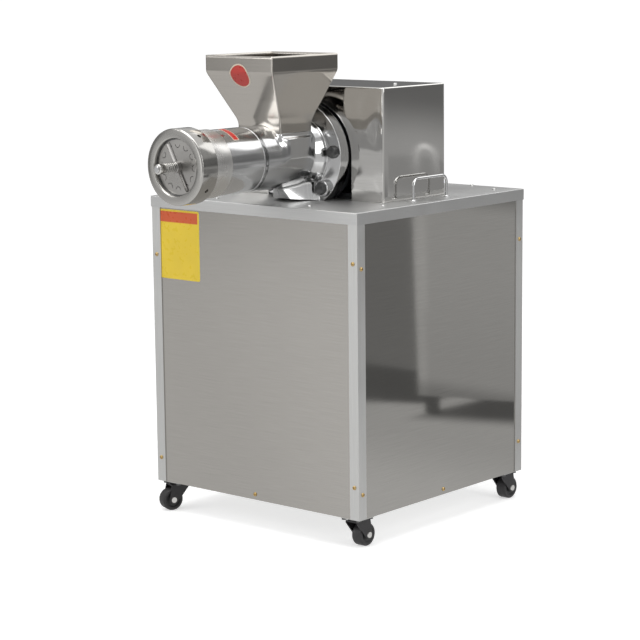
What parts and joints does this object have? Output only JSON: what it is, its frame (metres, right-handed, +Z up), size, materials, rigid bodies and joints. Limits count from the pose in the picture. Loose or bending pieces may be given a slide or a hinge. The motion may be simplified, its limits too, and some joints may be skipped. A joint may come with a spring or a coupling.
{
  "type": "electric pasta extruder on a wheeled cabinet",
  "caption": "Stainless screw extruder for pasta: hopper over a polished barrel with ring nut, die and sprung cutter, gear cover and grab handle, on a panelled cabinet with casters.",
  "frame": {"origin": "on the floor, at the centre of the overall box", "axes": "+Z up; the die end of the barrel looks to -Y; +X is the operator's right when facing the die"},
  "size_m": [0.6026, 0.9094, 1.042],
  "materials": {
    "axle_steel": "bright zinc",
    "belt_rubber": "matt",
    "bezel_metal": "satin bezel on a black body",
    "black_fork": "gloss black",
    "black_plastic": "moulded",
    "cast_iron": "as cast",
    "caster_tyre": "hard black tyre",
    "cover_steel": "polished sheet",
    "dark_bolt": "black oxide",
    "frame_steel": "plain folded sheet",
    "gear_steel": "machined",
    "gearbox_paint": "painted casting",
    "green_button": "gloss",
    "motor_paint": "painted aluminium",
    "panel_steel": "brushed sheet, half mirror",
    "polished_steel": "mirror polished",
    "red_button": "gloss",
    "ring_steel": "turned and polished",
    "spring_steel": "bright wire",
    "trim_steel": "satin sheet",
    "yellow_zinc": "yellow zinc"
  },
  "bodies": {
    "machine": {"barrel": "polished_steel", "barrel_bolts": "dark_bolt", "base_pan": "frame_steel", "button_bezels": "bezel_metal", "cable_gland": "black_plastic", "caster_bolts": "dark_bolt", "caster_plates": "frame_steel", "corner_post_front_left": "trim_steel", "corner_post_front_right": "trim_steel", "corner_post_rear_left": "trim_steel", "corner_post_rear_right": "trim_steel", "cover_bracket": "frame_steel", "die_plate": "polished_steel", "front_panel": "panel_steel", "gear_cover": "cover_steel", "gearbox_bolts": "dark_bolt", "gearbox_case": "gearbox_paint", "gearbox_lid": "gearbox_paint", "handle": "polished_steel", "handle_nuts": "dark_bolt", "hopper": "cover_steel", "left_panel": "panel_steel", "motor_bolts": "dark_bolt", "motor_fan_cover": "motor_paint", "motor_housing": "motor_paint", "motor_rails": "frame_steel", "motor_terminal_box": "motor_paint", "rear_panel": "panel_steel", "right_panel": "panel_steel", "sheet_screws": "yellow_zinc", "table_rails": "frame_steel", "table_top": "trim_steel", "v_belts": "belt_rubber"},
    "feed_screw": {"auger": "polished_steel", "output_gear": "gear_steel", "output_shaft": "gear_steel", "cutter_nut": "polished_steel", "cutter_spring": "spring_steel"},
    "cutter": {"cutter_blade": "polished_steel"},
    "input_drive": {"input_shaft": "gear_steel", "driven_pulley": "cast_iron"},
    "motor_rotor": {"motor_shaft": "gear_steel", "motor_fan": "black_plastic", "motor_pulley": "cast_iron"},
    "ring_nut": {"ring_nut": "ring_steel"},
    "start_button": {"start_button": "green_button"},
    "stop_button": {"stop_button": "red_button"},
    "caster_front_left": {"caster_fork_front_left": "black_fork", "caster_axle_front_left": "axle_steel"},
    "wheel_front_left": {"caster_wheel_front_left": "caster_tyre"},
    "caster_front_right": {"caster_fork_front_right": "black_fork", "caster_axle_front_right": "axle_steel"},
    "wheel_front_right": {"caster_wheel_front_right": "caster_tyre"},
    "caster_rear_left": {"caster_fork_rear_left": "black_fork", "caster_axle_rear_left": "axle_steel"},
    "wheel_rear_left": {"caster_wheel_rear_left": "caster_tyre"},
    "caster_rear_right": {"caster_fork_rear_right": "black_fork", "caster_axle_rear_right": "axle_steel"},
    "wheel_rear_right": {"caster_wheel_rear_right": "caster_tyre"}
  },
  "joints": [
    {"name": "screw_spin", "type": "hinge", "parent": "machine", "child": "feed_screw", "pos_m": [0.017, 0.08465, 0.822], "axis": [0, 1, 0], "continuous": true},
    {"name": "cutter_lift", "type": "slide", "parent": "feed_screw", "child": "cutter", "axis": [0, -1, 0], "range_m": [0, 0.004], "stiffness_N_per_m": 1500, "springref_m": -0.006, "deforming": ["cutter_spring"]},
    {"name": "input_spin", "type": "hinge", "parent": "machine", "child": "input_drive", "pos_m": [-0.083, 0.08465, 0.822], "axis": [0, 1, 0], "continuous": true},
    {"name": "motor_spin", "type": "hinge", "parent": "machine", "child": "motor_rotor", "pos_m": [-0.083, 0.15265, 0.21], "axis": [0, 1, 0], "continuous": true},
    {"name": "ring_nut_off", "type": "slide", "parent": "machine", "child": "ring_nut", "axis": [0, -1, 0], "range_m": [0, 0.12]},
    {"name": "start_press", "type": "slide", "parent": "machine", "child": "start_button", "axis": [1, 0, 0], "range_m": [0, 0.003], "stiffness_N_per_m": 400, "springref_m": -0.002},
    {"name": "stop_press", "type": "slide", "parent": "machine", "child": "stop_button", "axis": [1, 0, 0], "range_m": [0, 0.003], "stiffness_N_per_m": 400, "springref_m": -0.002},
    {"name": "swivel_front_left", "type": "hinge", "parent": "machine", "child": "caster_front_left", "pos_m": [-0.266, -0.12235, 0.0651], "axis": [0, 0, 1], "continuous": true},
    {"name": "roll_front_left", "type": "hinge", "parent": "caster_front_left", "child": "wheel_front_left", "pos_m": [-0.27284, -0.14114, 0.025], "axis": [-0.9397, 0.342, 0], "continuous": true},
    {"name": "swivel_front_right", "type": "hinge", "parent": "machine", "child": "caster_front_right", "pos_m": [0.266, -0.12235, 0.0651], "axis": [0, 0, 1], "continuous": true},
    {"name": "roll_front_right", "type": "hinge", "parent": "caster_front_right", "child": "wheel_front_right", "pos_m": [0.266, -0.10235, 0.025], "axis": [1, 0, 0], "continuous": true},
    {"name": "swivel_rear_left", "type": "hinge", "parent": "machine", "child": "caster_rear_left", "pos_m": [-0.266, 0.40365, 0.0651], "axis": [0, 0, 1], "continuous": true},
    {"name": "roll_rear_left", "type": "hinge", "parent": "caster_rear_left", "child": "wheel_rear_left", "pos_m": [-0.27016, 0.42321, 0.025], "axis": [0.9781, 0.2079, 0], "continuous": true},
    {"name": "swivel_rear_right", "type": "hinge", "parent": "machine", "child": "caster_rear_right", "pos_m": [0.266, 0.40365, 0.0651], "axis": [0, 0, 1], "continuous": true},
    {"name": "roll_rear_right", "type": "hinge", "parent": "caster_rear_right", "child": "wheel_rear_right", "pos_m": [0.266, 0.42365, 0.025], "axis": [1, 0, 0], "continuous": true}
  ],
  "couplings": [
    {"joint": "input_spin", "follows": "screw_spin", "ratio": -4},
    {"joint": "motor_spin", "follows": "screw_spin", "ratio": -9.2603}
  ]
}
